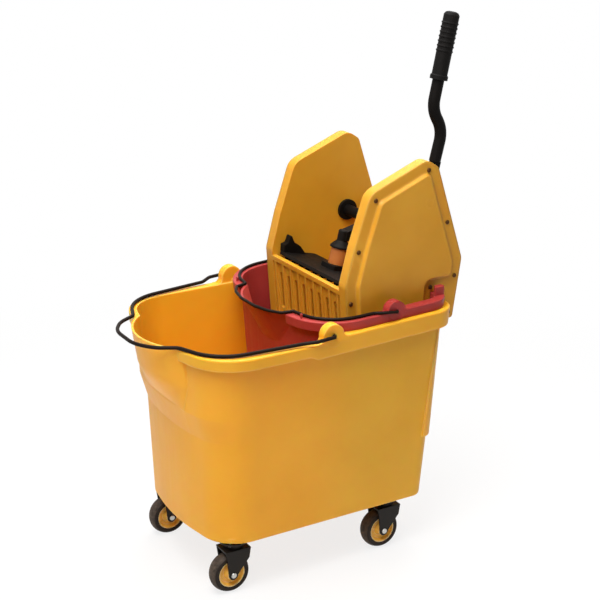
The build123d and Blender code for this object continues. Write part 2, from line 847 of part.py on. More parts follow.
# The space under that rim
with BuildPart() as red_hollow:
    red_hollow_width = red_flange_width - red_flange_wall
    red_gap = [red_section(red_band_foot, red_hollow_width), red_section(red_loft_top, red_hollow_width)]
    loft(sections=red_gap, ruled=True)
    red_under = upright(
        (-reach, red_band_foot - reach),
        (reach, red_band_foot - reach),
        (reach, red_rim(reach) - red_web),
        (-reach, red_rim(-reach) - red_web),
    )
    extrude(to_extrude=red_under, amount=reach, both=True, mode=Mode.INTERSECT)
    with BuildSketch(Plane.XY.offset(red_band_foot)):
        with Locations((-reach / 2 + red_rim_corner_x, 0)):
            Rectangle(reach, 2 * (red_rim_kink_y + red_flange_wall))
    extrude(amount=red_loft_top - red_band_foot, mode=Mode.SUBTRACT)

with BuildPart() as red_hull:
    loft(sections=[red_section(red_base, 0), red_section(red_loft_top, 0)], ruled=True)
    fillet(red_hull.faces().sort_by(Axis.Z)[0].edges(), red_base_edge)

with BuildPart() as red_bucket:
    add(red_rim_band.part)
    add(red_hollow.part, mode=Mode.SUBTRACT)
    add(red_hull.part)
    red_foot_fraction = (red_spout_foot - red_base) / (red_reference - red_base)
    red_spout_top = red_loft_top
    red_foot_apex = between(red_base_apex, red_rim_apex, red_foot_fraction) + red_wall
    red_top_fraction = (red_spout_top - red_spout_foot) / (red_reference - red_spout_foot)
    red_top_apex = between(red_foot_apex, red_spout_apex, red_top_fraction)
    red_top_kink_x = between(red_foot_apex + red_wall, red_rim_kink_x, red_top_fraction)
    red_top_kink_y = between(red_spout_foot_half_width, red_rim_kink_y, red_top_fraction)
    red_spout_outer = [
        spout_section(
            red_spout_foot,
            red_foot_apex,
            red_foot_apex + red_wall,
            red_spout_foot_half_width,
            red_ear_x,
        ),
        spout_section(red_spout_top, red_top_apex, red_top_kink_x, red_top_kink_y, red_ear_x),
    ]
    loft(sections=red_spout_outer, ruled=True)
    above_red_rim = upright(
        (-reach, red_rim(-reach)),
        (reach, red_rim(reach)),
        (reach, 2 * reach),
        (-reach, 2 * reach),
    )
    extrude(to_extrude=above_red_rim, amount=reach, both=True, mode=Mode.SUBTRACT)
    with BuildSketch(*both_sides(red_ear_inner, red_ear_outer)):
        with Locations((red_ear_x, red_ear_z)):
            Circle(red_ear_radius)
    extrude(amount=red_ear_outer - red_ear_inner)
    with BuildSketch(Plane.XY.offset(red_rim(red_rim_rear) - red_web)):
        post_x = red_rim_rear + red_flange_width - red_flange_edge - post_length / 2
        with Locations((post_x, post_y), (post_x, -post_y)):
            RectangleRounded(post_length, post_width, post_edge)
    extrude(amount=post_height + red_web)
    with BuildSketch(Plane.XY.offset(red_rim(nib_x) - red_web)):
        with Locations((nib_x - nib_depth / 2, nib_y), (nib_x - nib_depth / 2, -nib_y)):
            Rectangle(nib_depth, nib_width)
    extrude(amount=nib_height + red_web)
    red_cavity = [red_section(red_base + red_wall, -red_wall), red_section(red_loft_top, -red_wall)]
    loft(sections=red_cavity, ruled=True, mode=Mode.SUBTRACT)
    red_spout_inner = [
        spout_section(
            red_spout_foot,
            red_foot_apex + 2 * red_wall,
            red_foot_apex + 3 * red_wall,
            red_spout_foot_half_width - red_wall,
            red_ear_x,
        ),
        spout_section(
            red_spout_top,
            red_top_apex + red_wall,
            red_top_kink_x,
            red_top_kink_y - red_wall,
            red_ear_x,
        ),
    ]
    loft(sections=red_spout_inner, ruled=True, mode=Mode.SUBTRACT)
    with BuildSketch(*both_sides(red_ear_inner, red_ear_outer)):
        with Locations((red_ear_x, red_ear_z)):
            Circle(red_wire_radius + running_clearance)
    extrude(amount=red_ear_outer - red_ear_inner, mode=Mode.SUBTRACT)
    with BuildSketch(*both_sides(red_ear_inner + 2 * red_wall, red_ear_outer)):
        with BuildLine():
            Polyline(
                (-reach, rear_rim(-reach) + seat_gap),
                (reach, rear_rim(reach) + seat_gap),
                (reach, red_band_foot),
                (-reach, red_band_foot),
                close=True,
            )
        make_face()
    extrude(amount=red_ear_outer - red_ear_inner - 2 * red_wall, mode=Mode.SUBTRACT)
keep(red_bucket, "red_bucket")


def red_wire_z(x):
    return red_rim(x) + red_wire_radius + seat_gap


red_wire_side = red_ear_outer + red_wire_radius + red_wire_ear_gap
red_corner = (red_rim_corner_x, -red_rim_half_width - red_wire_corner_out)
red_kink = (red_rim_kink_x, -red_rim_kink_y - red_wire_kink_out)
red_bail_half = [
    (red_ear_x, -red_ear_inner - seat_gap, red_ear_z),
    (red_ear_x, -red_wire_side, red_ear_z),
    (red_ear_x - red_wire_step, -red_wire_side, red_wire_z(red_ear_x)),
    (red_wire_seat_x, -red_rim_half_width - red_wire_seat_out, red_wire_z(red_wire_seat_x)),
    (*red_corner, red_wire_z(red_rim_corner_x)),
    (*red_kink, red_wire_z(red_rim_kink_x)),
    (red_loop_start_x, -red_loop_start_y, red_wire_z(red_loop_start_x)),
    (red_loop_flank_x, -red_loop_flank_y, red_wire_z(red_loop_flank_x)),
    (red_loop_apex, -red_loop_half_width, red_wire_z(red_loop_apex)),
]
red_bail_bends = [
    red_wire_ear_bend,
    red_wire_step_bend,
    red_wire_seat_bend,
    red_wire_corner_bend,
    red_wire_kink_bend,
    red_loop_start_bend,
    red_loop_flank_bend,
    red_loop_bend,
]
red_bail_points = red_bail_half + [(x, -y, z) for x, y, z in reversed(red_bail_half)]
with BuildPart() as red_bail:
    with BuildLine() as red_bail_path:
        FilletPolyline(*red_bail_points, radius=red_bail_bends + red_bail_bends[::-1])
    with BuildSketch(Plane(origin=red_bail_path.line @ 0, z_dir=red_bail_path.line % 0)):
        Circle(red_wire_radius)
    sweep(path=red_bail_path.line)
keep(red_bail, "red_bail")

# Wringer
hook_z = red_rim(red_rim_rear + red_flange_width) + seat_gap


def wringer_rear(height):
    return red_inner_rear(height) - wringer_fit


def front_edge(height):
    return between(cheek_foot_x, cheek_wide_x, (height - cheek_foot_z) / (cheek_wide_z - cheek_foot_z))


def hook_edge(height):
    return between(hook_foot_x, cheek_rear_x, (height - hook_foot_z) / (cheek_rear_z - hook_foot_z))


def back_edge(height):
    return between(cheek_rear_x, cheek_back_x, (height - cheek_rear_z) / (cheek_back_z - cheek_rear_z))


cheek_outline = [
    (cheek_foot_x, cheek_foot_z),
    (cheek_wide_x, cheek_wide_z),
    (cheek_mid_x, cheek_mid_z),
    (cheek_shoulder_x, cheek_shoulder_z),
    (cheek_apex_x, cheek_apex_z),
    (cheek_back_x, cheek_back_z),
    (cheek_rear_x, cheek_rear_z),
    (hook_foot_x, hook_foot_z),
    (hook_inner_x, hook_foot_z),
    (hook_inner_x, hook_z),
    (wringer_rear(hook_z), hook_z),
    (wringer_rear(floor_rear_z), floor_rear_z),
]


def inset_corner(index):
    # a corner of the cheek moved in square to both its edges
    corner = Vector(cheek_outline[index])
    along = (corner - Vector(cheek_outline[index - 1])).normalized()
    onward = (Vector(cheek_outline[index + 1]) - corner).normalized()
    inward = Vector(along.Y + onward.Y, -along.X - onward.X)
    moved = corner + inward * (panel_inset / (1 + along.dot(onward)))
    return (moved.X, moved.Y)


rear_corner = cheek_outline.index((cheek_rear_x, cheek_rear_z))
panel_outline = [inset_corner(index) for index in range(rear_corner + 1)]
panel_outline += [
    (panel_rear_x, panel_notch_z),
    (panel_notch_x, panel_notch_z),
    (panel_foot_x, panel_foot_z),
]


def rounded_sketch(distance, outline, bends, inset=0.0):
    with BuildSketch(near_plane(distance)) as rounded:
        with BuildLine():
            FilletPolyline(*outline, radius=bends, close=True)
        make_face()
        if inset:
            offset(amount=-inset, mode=Mode.REPLACE)
    return rounded.sketch


def cheek_sketch(distance, inset=0.0):
    return rounded_sketch(distance, cheek_outline, cheek_bends, inset)


def panel_sketch(distance, inset=0.0):
    return rounded_sketch(distance, panel_outline, panel_bends, inset)


shaft = (shaft_x, shaft_z)
pivot = polar(shaft, gear_module * (pinion_teeth + sector_teeth) / 2, gear_line)
cheek_cover_face = cheek_inner + cheek_depth
rib_span = rib_pitch * (rib_count - 1)
with BuildPart() as wringer_body:
    for start_plane in (cheek_inner, -cheek_inner - cheek_depth):
        edge_band = cheek_sketch(start_plane) - cheek_sketch(start_plane, cheek_edge_wall)
        extrude(to_extrude=edge_band, amount=cheek_depth)
    for start_plane in (cheek_inner, -cheek_inner - cheek_skin):
        extrude(to_extrude=cheek_sketch(start_plane), amount=cheek_skin)
    with BuildSketch(*both_sides(cheek_inner, cheek_cover_face)):
        with Locations(*cover_screw_spots):
            Circle(screw_boss_radius)
    extrude(amount=cheek_depth)
    wall_foot = cheek_foot_z + moulded_wall
    front_wall = upright(
        (front_edge(wall_foot) + front_wall_setback, wall_foot),
        (front_edge(front_wall_top) + front_wall_setback, front_wall_top),
        (front_edge(front_wall_top) + front_wall_setback + moulded_wall, front_wall_top),
        (front_edge(wall_foot) + front_wall_setback + moulded_wall, wall_foot),
    )
    extrude(to_extrude=front_wall, amount=cheek_inner, both=True)
    rail_foot = front_wall_top - top_rail_height
    top_rail = upright(
        (front_edge(rail_foot), rail_foot),
        (front_edge(front_wall_top), front_wall_top),
        (front_edge(front_wall_top) + top_rail_depth, front_wall_top),
        (front_edge(rail_foot) + top_rail_depth, rail_foot),
    )
    extrude(to_extrude=top_rail, amount=cheek_inner, both=True)
    foot_rail = upright(
        (front_edge(wall_foot), wall_foot),
        (front_edge(wall_foot + top_rail_height), wall_foot + top_rail_height),
        (front_edge(wall_foot + top_rail_height) + front_wall_setback, wall_foot + top_rail_height),
        (front_edge(wall_foot) + front_wall_setback, wall_foot),
    )
    extrude(to_extrude=foot_rail, amount=cheek_inner, both=True)
    for rib in range(rib_count):
        with BuildSketch(near_plane(rib * rib_pitch - rib_span / 2)):
            with BuildLine():
                Polyline(
                    (front_edge(wall_foot), wall_foot),
                    (front_edge(front_wall_top), front_wall_top),
                    (front_edge(front_wall_top) + front_wall_setback, front_wall_top),
                    (front_edge(wall_foot) + front_wall_setback, wall_foot),
                    close=True,
                )
            make_face()
        extrude(amount=rib_width / 2, both=True)
    floor_start = front_edge(wall_foot) + front_wall_setback
    floor_profile = upright(
        (floor_start, wall_foot),
        (wringer_rear(floor_rear_z), floor_rear_z),
        (wringer_rear(floor_rear_z), floor_rear_z + moulded_wall),
        (floor_start, wall_foot + moulded_wall),
    )
    extrude(to_extrude=floor_profile, amount=cheek_inner, both=True)
    rear_wall = upright(
        (wringer_rear(floor_rear_z), floor_rear_z),
        (wringer_rear(hook_z), hook_z),
        (hook_edge(hook_z), hook_z),
        (hook_edge(hook_z), hook_z + moulded_wall),
        (wringer_rear(hook_z) - moulded_wall, hook_z + moulded_wall),
        (wringer_rear(floor_rear_z) - moulded_wall, floor_rear_z),
    )
    extrude(to_extrude=rear_wall, amount=cheek_inner, both=True)
    hook_lip = upright(
        (hook_inner_x, hook_foot_z),
        (hook_inner_x + moulded_wall, hook_foot_z),
        (hook_inner_x + moulded_wall, hook_z + moulded_wall),
        (hook_inner_x, hook_z + moulded_wall),
    )
    extrude(to_extrude=hook_lip, amount=cheek_inner, both=True)
    back_panel = upright(
        (hook_edge(hook_z) - moulded_wall, hook_z),
        (hook_edge(hook_z), hook_z),
        (cheek_rear_x - moulded_wall / 2, cheek_rear_z),
        (back_edge(rear_wall_top), rear_wall_top),
        (back_edge(rear_wall_top) - moulded_wall, rear_wall_top),
        (cheek_rear_x - 1.5 * moulded_wall, cheek_rear_z),
    )
    extrude(to_extrude=back_panel, amount=cheek_inner, both=True)
    with BuildSketch(Plane.YZ.offset(cheek_wide_x)):
        with Locations((0, drain_slot_centre)):
            with GridLocations(rib_pitch, 0, rib_count - 1, 1):
                SlotOverall(drain_slot_length, drain_slot_width, rotation=90)
    extrude(amount=moulded_wall + 4 * front_wall_setback, mode=Mode.SUBTRACT)
    with BuildSketch(Plane.XY.offset(cheek_foot_z)):
        with Locations(((floor_start + wringer_rear(floor_rear_z)) / 2, 0)):
            with GridLocations(floor_slot_pitch, rib_pitch, floor_slot_rows, rib_count - 1):
                SlotOverall(floor_slot_length, floor_slot_width)
    extrude(amount=floor_rear_z - cheek_foot_z + 2 * moulded_wall, mode=Mode.SUBTRACT)
    with BuildSketch(*both_sides(cheek_inner, cheek_inner + cheek_skin)):
        with Locations(shaft):
            Circle(bush_sleeve_radius + running_clearance)
    extrude(amount=cheek_skin, mode=Mode.SUBTRACT)
    with BuildSketch(near_plane(cheek_inner)):
        with Locations(pivot):
            Circle(lever_pin_radius + running_clearance)
    extrude(amount=cheek_skin, mode=Mode.SUBTRACT)
    with BuildSketch(*both_sides(cheek_cover_face - cover_screw_grip - seat_gap, cheek_cover_face)):
        with Locations(*cover_screw_spots):
            Circle(cover_screw_radius + running_clearance)
    extrude(amount=cover_screw_grip + seat_gap, mode=Mode.SUBTRACT)
    with BuildSketch(near_plane(cheek_inner + cheek_skin)):
        lever_low = lever_lean - lever_swing
        slot_half = lever_tang_width / 2 + slot_side_gap
        slot_upper = polar(pivot, slot_half, lever_lean + 90)
        slot_lower = polar(pivot, slot_half, lever_low - 90)
        with BuildLine():
            Polyline(
                pivot,
                slot_upper,
                polar(slot_upper, 2 * lever_tube_start, lever_lean),
                polar(pivot, 2 * lever_tube_start, (lever_lean + lever_low) / 2),
                polar(slot_lower, 2 * lever_tube_start, lever_low),
                slot_lower,
                close=True,
            )
        make_face()
    extrude(amount=cheek_depth - cheek_skin, mode=Mode.SUBTRACT)
keep(wringer_body, "wringer_body")

with BuildPart() as cheek_cover_near:
    extrude(to_extrude=cheek_sketch(cheek_cover_face), amount=cover_sheet)
    extrude(to_extrude=panel_sketch(cheek_cover_face + cover_sheet), amount=panel_height, taper=panel_draft)
    panel_space = panel_sketch(cheek_cover_face, cover_sheet)
    extrude(to_extrude=panel_space, amount=panel_height, taper=panel_draft, mode=Mode.SUBTRACT)
    with BuildSketch(near_plane(cheek_cover_face)):
        with Locations(pivot):
            Circle(lever_pin_boss_radius)
            Circle(lever_pin_radius + running_clearance, mode=Mode.SUBTRACT)
    extrude(amount=panel_height + cover_sheet / 2)
    with BuildSketch(near_plane(cheek_cover_face)):
        with Locations(*cover_screw_spots):
            Circle(cover_screw_radius + running_clearance)
    extrude(amount=cover_sheet, mode=Mode.SUBTRACT)
keep(cheek_cover_near, "cheek_cover_near")

with BuildPart() as cheek_cover_far:
    mirror(cheek_cover_near.part, about=Plane.XZ)
keep(cheek_cover_far, "cheek_cover_far")

with BuildPart() as cover_screws_near:
    with BuildSketch(near_plane(cheek_cover_face + cover_sheet)):
        with Locations(*cover_screw_spots):
            Circle(cover_screw_head_radius)
    extrude(amount=cover_screw_head_height)
    with BuildSketch(near_plane(cheek_cover_face - cover_screw_grip)):
        with Locations(*cover_screw_spots):
            Circle(cover_screw_radius)
    extrude(amount=cover_screw_grip + cover_sheet)
keep(cover_screws_near, "cover_screws_near")

with BuildPart() as cover_screws_far:
    mirror(cover_screws_near.part, about=Plane.XZ)
keep(cover_screws_far, "cover_screws_far")

# Cross shaft with its two bushes
with BuildPart() as shaft_bush_near:
    with BuildSketch(near_plane(cheek_inner - bush_disc_width)):
        with Locations(shaft):
            Circle(bush_disc_radius)
    extrude(amount=bush_disc_width)
    with BuildSketch(near_plane(cheek_inner)):
        with Locations(shaft):
            Circle(bush_sleeve_radius)
    extrude(amount=cheek_skin)
    with BuildSketch(near_plane(cheek_inner - bush_disc_width)):
        with Locations(shaft):
            Circle(shaft_radius + running_clearance)
    extrude(amount=bush_disc_width + cheek_skin, mode=Mode.SUBTRACT)
keep(shaft_bush_near, "shaft_bush_near")

with BuildPart() as shaft_bush_far:
    mirror(shaft_bush_near.part, about=Plane.XZ)
keep(shaft_bush_far, "shaft_bush_far")

with BuildPart() as cross_shaft:
    with BuildSketch(near_plane(-shaft_end)):
        with Locations(shaft):
            Circle(shaft_radius)
    extrude(amount=2 * shaft_end)
    chamfer(cross_shaft.edges().group_by(Axis.Y)[0] + cross_shaft.edges().group_by(Axis.Y)[-1], shaft_chamfer)
keep(cross_shaft, "cross_shaft")


# Gearing
def flank_angle(teeth, radius):
    # half the angle a tooth fills at this radius, in degrees
    pitch_radius = gear_module * teeth / 2
    base_radius = pitch_radius * cos(radians(pressure_angle))
    at_pitch = pi / (2 * teeth) - gear_backlash / (4 * pitch_radius)
    roll = acos(min(1, base_radius / radius))
    start = radians(pressure_angle)
    return degrees(at_pitch + tan(start) - start - tan(roll) + roll)


def gear_sketch(plane, centre, teeth, tooth_angles):
    pitch_radius = gear_module * teeth / 2
    root = pitch_radius - gear_dedendum
    tip = pitch_radius + gear_addendum
    flank_start = max(root, pitch_radius * cos(radians(pressure_angle)))
    with BuildSketch(plane) as gear:
        for tooth in tooth_angles:
            low = flank_angle(teeth, flank_start)
            mid = flank_angle(teeth, pitch_radius)
            high = flank_angle(teeth, tip)
            with BuildLine():
                Polyline(
                    polar(centre, flank_start, tooth - low),
                    polar(centre, root - gear_addendum, tooth - low),
                    polar(centre, root - gear_addendum, tooth + low),
                    polar(centre, flank_start, tooth + low),
                )
                ThreePointArc(
                    polar(centre, flank_start, tooth + low),
                    polar(centre, pitch_radius, tooth + mid),
                    polar(centre, tip, tooth + high),
                )
                ThreePointArc(
                    polar(centre, tip, tooth + high),
                    polar(centre, tip, tooth),
                    polar(centre, tip, tooth - high),
                )
                ThreePointArc(
                    polar(centre, tip, tooth - high),
                    polar(centre, pitch_radius, tooth - mid),
                    polar(centre, flank_start, tooth - low),
                )
            make_face()
    return gear.sketch


gear_face = cheek_inner + cheek_skin + seat_gap
pinion_root = gear_module * pinion_teeth / 2 - gear_dedendum
sector_root = gear_module * sector_teeth / 2 - gear_dedendum
pinion_angles = [gear_line + (tooth + 0.5) * 360 / pinion_teeth for tooth in range(pinion_teeth)]
sector_pitch = 360 / sector_teeth
sector_range = range(-sector_teeth_after, sector_teeth_before + 1)
sector_angles = [gear_line + sector_pitch * tooth for tooth in sector_range]
tang_face = gear_face + gear_width + seat_gap
with BuildPart() as lever_pinion:
    pinion_profile = gear_sketch(near_plane(gear_face), pivot, pinion_teeth, pinion_angles)
    extrude(to_extrude=pinion_profile, amount=gear_width)
    with BuildSketch(near_plane(gear_face)):
        with Locations(pivot):
            Circle(pinion_root)
    extrude(amount=gear_width)
    lug_offset = lever_tang_width / 2 + seat_gap + lug_width / 2
    lug_length = 2 * (pinion_root**2 - (lug_offset + lug_width / 2) ** 2) ** 0.5
    with BuildSketch(near_plane(gear_face + gear_width)):
        with Locations(Location((pivot[0], pivot[1], 0), (0, 0, lever_lean))):
            with Locations((0, lug_offset), (0, -lug_offset)):
                Rectangle(lug_length, lug_width)
    extrude(amount=lug_height)
    with BuildSketch(near_plane(gear_face)):
        with Locations(pivot):
            Circle(lever_pin_radius + running_clearance)
    extrude(amount=gear_width, mode=Mode.SUBTRACT)
keep(lever_pinion, "lever_pinion")

with BuildPart() as press_sector:
    sector_profile = gear_sketch(near_plane(gear_face), shaft, sector_teeth, sector_angles)
    extrude(to_extrude=sector_profile, amount=gear_width)
    with BuildSketch(near_plane(gear_face)):
        first = sector_angles[0] - sector_pitch / 2
        last = sector_angles[-1] + sector_pitch / 2
        with BuildLine():
            Polyline(
                polar(shaft, sector_root, last),
                shaft,
                polar(shaft, sector_root, first),
            )
            ThreePointArc(
                polar(shaft, sector_root, first),
                polar(shaft, sector_root, (first + last) / 2),
                polar(shaft, sector_root, last),
            )
        make_face()
        with Locations(shaft):
            Circle(sector_hub_radius)
            Circle(shaft_radius, mode=Mode.SUBTRACT)
    extrude(amount=gear_width)
    with BuildSketch(near_plane(gear_face)):
        with Locations(shaft):
            Circle(shaft_radius)
    extrude(amount=gear_width, mode=Mode.SUBTRACT)
keep(press_sector, "press_sector")

with BuildPart() as lever_pin:
    with BuildSketch(near_plane(cheek_inner)):
        with Locations(pivot):
            Circle(lever_pin_radius)
    extrude(amount=lever_pin_end - cheek_inner)
keep(lever_pin, "lever_pin")

# Press: arm on the shaft, foot under the arm, plate under the foot
plate_along = (cos(radians(plate_slope)), 0, -sin(radians(plate_slope)))
plate_normal = (sin(radians(plate_slope)), 0, cos(radians(plate_slope)))
plate_plane = Plane(origin=(plate_front_x, 0, plate_front_z), x_dir=plate_along, z_dir=plate_normal)


def plate_top(x):
    return plate_front_z - tan(radians(plate_slope)) * (x - plate_front_x)


post_base = plate_plane.from_local_coords((press_screw_at, 0, 0))
post_plane = Plane(origin=post_base, x_dir=plate_along, z_dir=(0, -1, 0))
post_axis = Axis(post_base, plate_normal)


def on_post(height):
    # a point on the foot's axis in side view, at this height above the plate
    return (post_base.X + plate_normal[0] * height, post_base.Z + plate_normal[2] * height)


screw_spots = [(press_screw_at, -press_screw_spacing / 2), (press_screw_at, press_screw_spacing / 2)]
with BuildPart() as press_plate:
    with BuildSketch(plate_plane):
        with Locations((plate_depth / 2, 0)):
            RectangleRounded(plate_depth, 2 * plate_half_span, plate_thickness)
    extrude(amount=-plate_thickness)
    with BuildSketch(plate_plane):
        with Locations(((plate_pad_front + plate_depth) / 2, 0)):
            RectangleRounded(plate_depth - plate_pad_front, 2 * plate_pad_half_width, plate_thickness)
    extrude(amount=plate_pad_height)
    with BuildSketch(plate_plane.offset(-plate_thickness)):
        with Locations((plate_depth / 2, 0)):
            with GridLocations(0, plate_fin_pitch, 1, plate_fin_count):
                Rectangle(plate_depth - 2 * plate_fin_inset, plate_fin_width)
    extrude(amount=-plate_fin_depth)
    horn_front = (horn_front_x, plate_top(horn_front_x) - plate_thickness / 2)
    horn_rear = (horn_rear_x, plate_top(horn_rear_x) - plate_thickness / 2)
    with BuildSketch(*both_sides(plate_half_span - horn_width, plate_half_span)):
        with BuildLine():
            FilletPolyline(
                horn_front,
                horn_toe,
                horn_heel,
                horn_tip,
                horn_notch,
                horn_shoulder,
                horn_slope,
                horn_rear,
                radius=[0] + 6 * [horn_edge] + [0],
                close=True,
            )
        make_face()
    extrude(amount=horn_width)
    with BuildSketch(plate_plane.offset(-plate_thickness)):
        with Locations(*screw_spots):
            Circle(press_screw_radius + running_clearance)
    extrude(amount=plate_thickness + plate_pad_height, mode=Mode.SUBTRACT)
keep(press_plate, "press_plate")

with BuildPart() as press_foot:
    with BuildSketch(post_plane):
        with BuildLine():
            Polyline(
                (0, plate_pad_height),
                (press_foot_radius, plate_pad_height),
                (press_seat_radius, press_seat_height),
                (0, press_seat_height),
                close=True,
            )
        make_face()
    revolve(axis=post_axis)
    with BuildSketch(plate_plane):
        with Locations(*screw_spots):
            Circle(press_screw_radius + running_clearance)
    extrude(amount=press_screw_length, mode=Mode.SUBTRACT)
keep(press_foot, "press_foot")

with BuildPart() as press_arm:
    with BuildSketch(near_plane(0)):
        with BuildLine():
            Polyline(
                on_post(press_seat_height + bell_height),
                on_post(neck_top - neck_edge),
                (shaft_x, shaft_z + press_hub_radius),
                (shaft_x, shaft_z - press_hub_radius),
                close=True,
            )
        make_face()
    extrude(amount=press_web_width / 2, both=True)
    with BuildSketch(near_plane(0)):
        with Locations(shaft):
            Circle(press_hub_radius)
    extrude(amount=press_hub_width / 2, both=True)
    with BuildSketch(post_plane):
        with BuildLine():
            Polyline(
                (0, press_seat_height),
                (bell_radius, press_seat_height),
                (bell_radius, press_seat_height + bell_rim),
                (neck_radius, press_seat_height + bell_height),
                (neck_radius, neck_top - neck_edge),
                (neck_radius - neck_edge, neck_top),
                (0, neck_top),
                close=True,
            )
        make_face()
    revolve(axis=post_axis)
    with BuildSketch(near_plane(0)):
        with Locations(shaft):
            Circle(shaft_radius)
    extrude(amount=press_hub_width / 2, both=True, mode=Mode.SUBTRACT)
    with BuildSketch(plate_plane):
        with Locations(*screw_spots):
            Circle(press_screw_radius + running_clearance)
    extrude(amount=press_screw_length, mode=Mode.SUBTRACT)
keep(press_arm, "press_arm")

with BuildPart() as press_screws:
    with BuildSketch(plate_plane.offset(-plate_thickness)):
        with Locations(*screw_spots):
            Circle(press_screw_head_radius)
    extrude(amount=-press_screw_head_height)
    with BuildSketch(plate_plane.offset(-plate_thickness)):
        with Locations(*screw_spots):
            Circle(press_screw_radius)
    extrude(amount=press_screw_length)
keep(press_screws, "press_screws")

# Lever: flat tang on the pivot, plugged into an S-bent tube with a moulded grip
lever_start = polar(pivot, lever_tube_start, lever_lean)
with BuildPart() as lever_tube:
    with BuildLine(near_plane(lever_y)) as lever_path:
        FilletPolyline(
            lever_start,
            (lever_first_bend_x, lever_first_bend_z),
            (lever_second_bend_x, lever_second_bend_z),
            (lever_top_x, lever_top_z),
            radius=lever_bend_radius,
        )
    with BuildSketch(Plane(origin=lever_path.line @ 0, z_dir=lever_path.line % 0)):
        Circle(lever_tube_radius)
        Circle(lever_tube_radius - lever_tube_wall, mode=Mode.SUBTRACT)
    sweep(path=lever_path.line)
    with BuildSketch(Plane(origin=lever_path.line @ 0, z_dir=lever_path.line % 0)):
        Circle(lever_tube_radius)
    extrude(amount=lever_plug_length)
    with BuildSketch(near_plane(tang_face)):
        with Locations(pivot):
            Circle(lever_tang_width / 2)
        with Locations(Location((pivot[0], pivot[1], 0), (0, 0, lever_lean))):
            with Locations((lever_tube_start / 2, 0)):
                Rectangle(lever_tube_start + lever_tube_wall, lever_tang_width)
        with Locations(pivot):
            Circle(lever_pin_radius + running_clearance, mode=Mode.SUBTRACT)
    extrude(amount=lever_tang_thickness)
keep(lever_tube, "lever_tube")

grip_lean = degrees(atan2(lever_top_z - lever_second_bend_z, lever_top_x - lever_second_bend_x))
grip_base = polar((lever_top_x, lever_top_z), grip_length - grip_end_wall - seat_gap, grip_lean + 180)
grip_direction = (cos(radians(grip_lean)), 0, sin(radians(grip_lean)))
grip_across = (sin(radians(grip_lean)), 0, -cos(radians(grip_lean)))
grip_origin = (grip_base[0], -lever_y, grip_base[1])
grip_outline = [
    (lever_tube_radius + running_clearance, 0),
    (grip_flange_radius, 0),
    (grip_flange_radius, grip_flange_width),
    (grip_radius, grip_flange_width + grip_ring_width / 2),
]
for ring in range(grip_ring_count):
    ring_foot = grip_ring_start + ring * grip_ring_pitch
    grip_outline += [
        (grip_radius, ring_foot),
        (grip_radius + grip_ring_height, ring_foot + grip_ring_height),
        (grip_radius + grip_ring_height, ring_foot + grip_ring_width - grip_ring_height),
        (grip_radius, ring_foot + grip_ring_width),
    ]
grip_outline += [
    (grip_radius, grip_length - grip_dome),
    (grip_dome_radius, grip_length - grip_dome_step),
    (grip_tip_radius, grip_length),
    (0, grip_length),
    (0, grip_length - grip_end_wall),
    (lever_tube_radius + running_clearance, grip_length - grip_end_wall),
]
with BuildPart() as lever_grip:
    with BuildSketch(Plane(origin=grip_origin, x_dir=grip_across, z_dir=(0, -1, 0))):
        with BuildLine():
            Polyline(*grip_outline, close=True)
        make_face()
    revolve(axis=Axis(grip_origin, grip_direction))
keep(lever_grip, "lever_grip")
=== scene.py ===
import json
import math

import bmesh
import bpy
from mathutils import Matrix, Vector


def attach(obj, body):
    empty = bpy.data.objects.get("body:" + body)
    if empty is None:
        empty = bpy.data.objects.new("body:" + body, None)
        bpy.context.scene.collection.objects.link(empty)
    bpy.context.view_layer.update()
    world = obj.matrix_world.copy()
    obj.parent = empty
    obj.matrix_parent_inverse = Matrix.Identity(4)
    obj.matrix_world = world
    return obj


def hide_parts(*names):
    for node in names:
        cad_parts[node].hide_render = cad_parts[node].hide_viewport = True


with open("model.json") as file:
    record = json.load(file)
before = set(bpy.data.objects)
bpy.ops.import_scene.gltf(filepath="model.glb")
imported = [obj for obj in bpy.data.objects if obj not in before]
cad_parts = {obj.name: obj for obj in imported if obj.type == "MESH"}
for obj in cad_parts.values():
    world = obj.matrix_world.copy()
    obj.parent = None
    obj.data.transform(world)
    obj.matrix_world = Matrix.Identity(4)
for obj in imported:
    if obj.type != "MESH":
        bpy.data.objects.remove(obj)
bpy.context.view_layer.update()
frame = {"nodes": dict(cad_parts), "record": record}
nodes = frame["nodes"]
subparts = frame["record"]["subparts"]
scene = bpy.context.scene
millimetre = 0.001
print("stage: frame loaded,", len(nodes), "nodes")


def linearColour(hexText):
    channels = [int(hexText[i:i + 2], 16) / 255 for i in (1, 3, 5)]
    # the sRGB curve: a short straight foot, then a power
    straight = [c / 12.92 if c <= 0.04045 else ((c + 0.055) / 1.055) ** 2.4 for c in channels]
    return (*straight, 1.0)


def perMetre(sizeMm):
    return 1 / (sizeMm * millimetre)  # texture scale that gives a pattern of this real size


def addNode(tree, kind, settings=None, links=None):
    # a setting is a socket by name or number, or else a property of the node itself
    node = tree.nodes.new(kind)
    for key, value in (settings or {}).items():
        if isinstance(key, int) or key in node.inputs:
            node.inputs[key].default_value = value
        else:
            setattr(node, key, value)
    for key, source in (links or {}).items():
        tree.links.new(source, node.inputs[key])
    return node


def startMaterial(name):
    material = bpy.data.materials.new(name)
    material.use_nodes = True
    material.node_tree.nodes.clear()
    tree = material.node_tree
    return material, tree, addNode(tree, "ShaderNodeTexCoord").outputs["Object"]


def endMaterial(tree, shader):
    addNode(tree, "ShaderNodeOutputMaterial", links={"Surface": shader.outputs["BSDF"]})


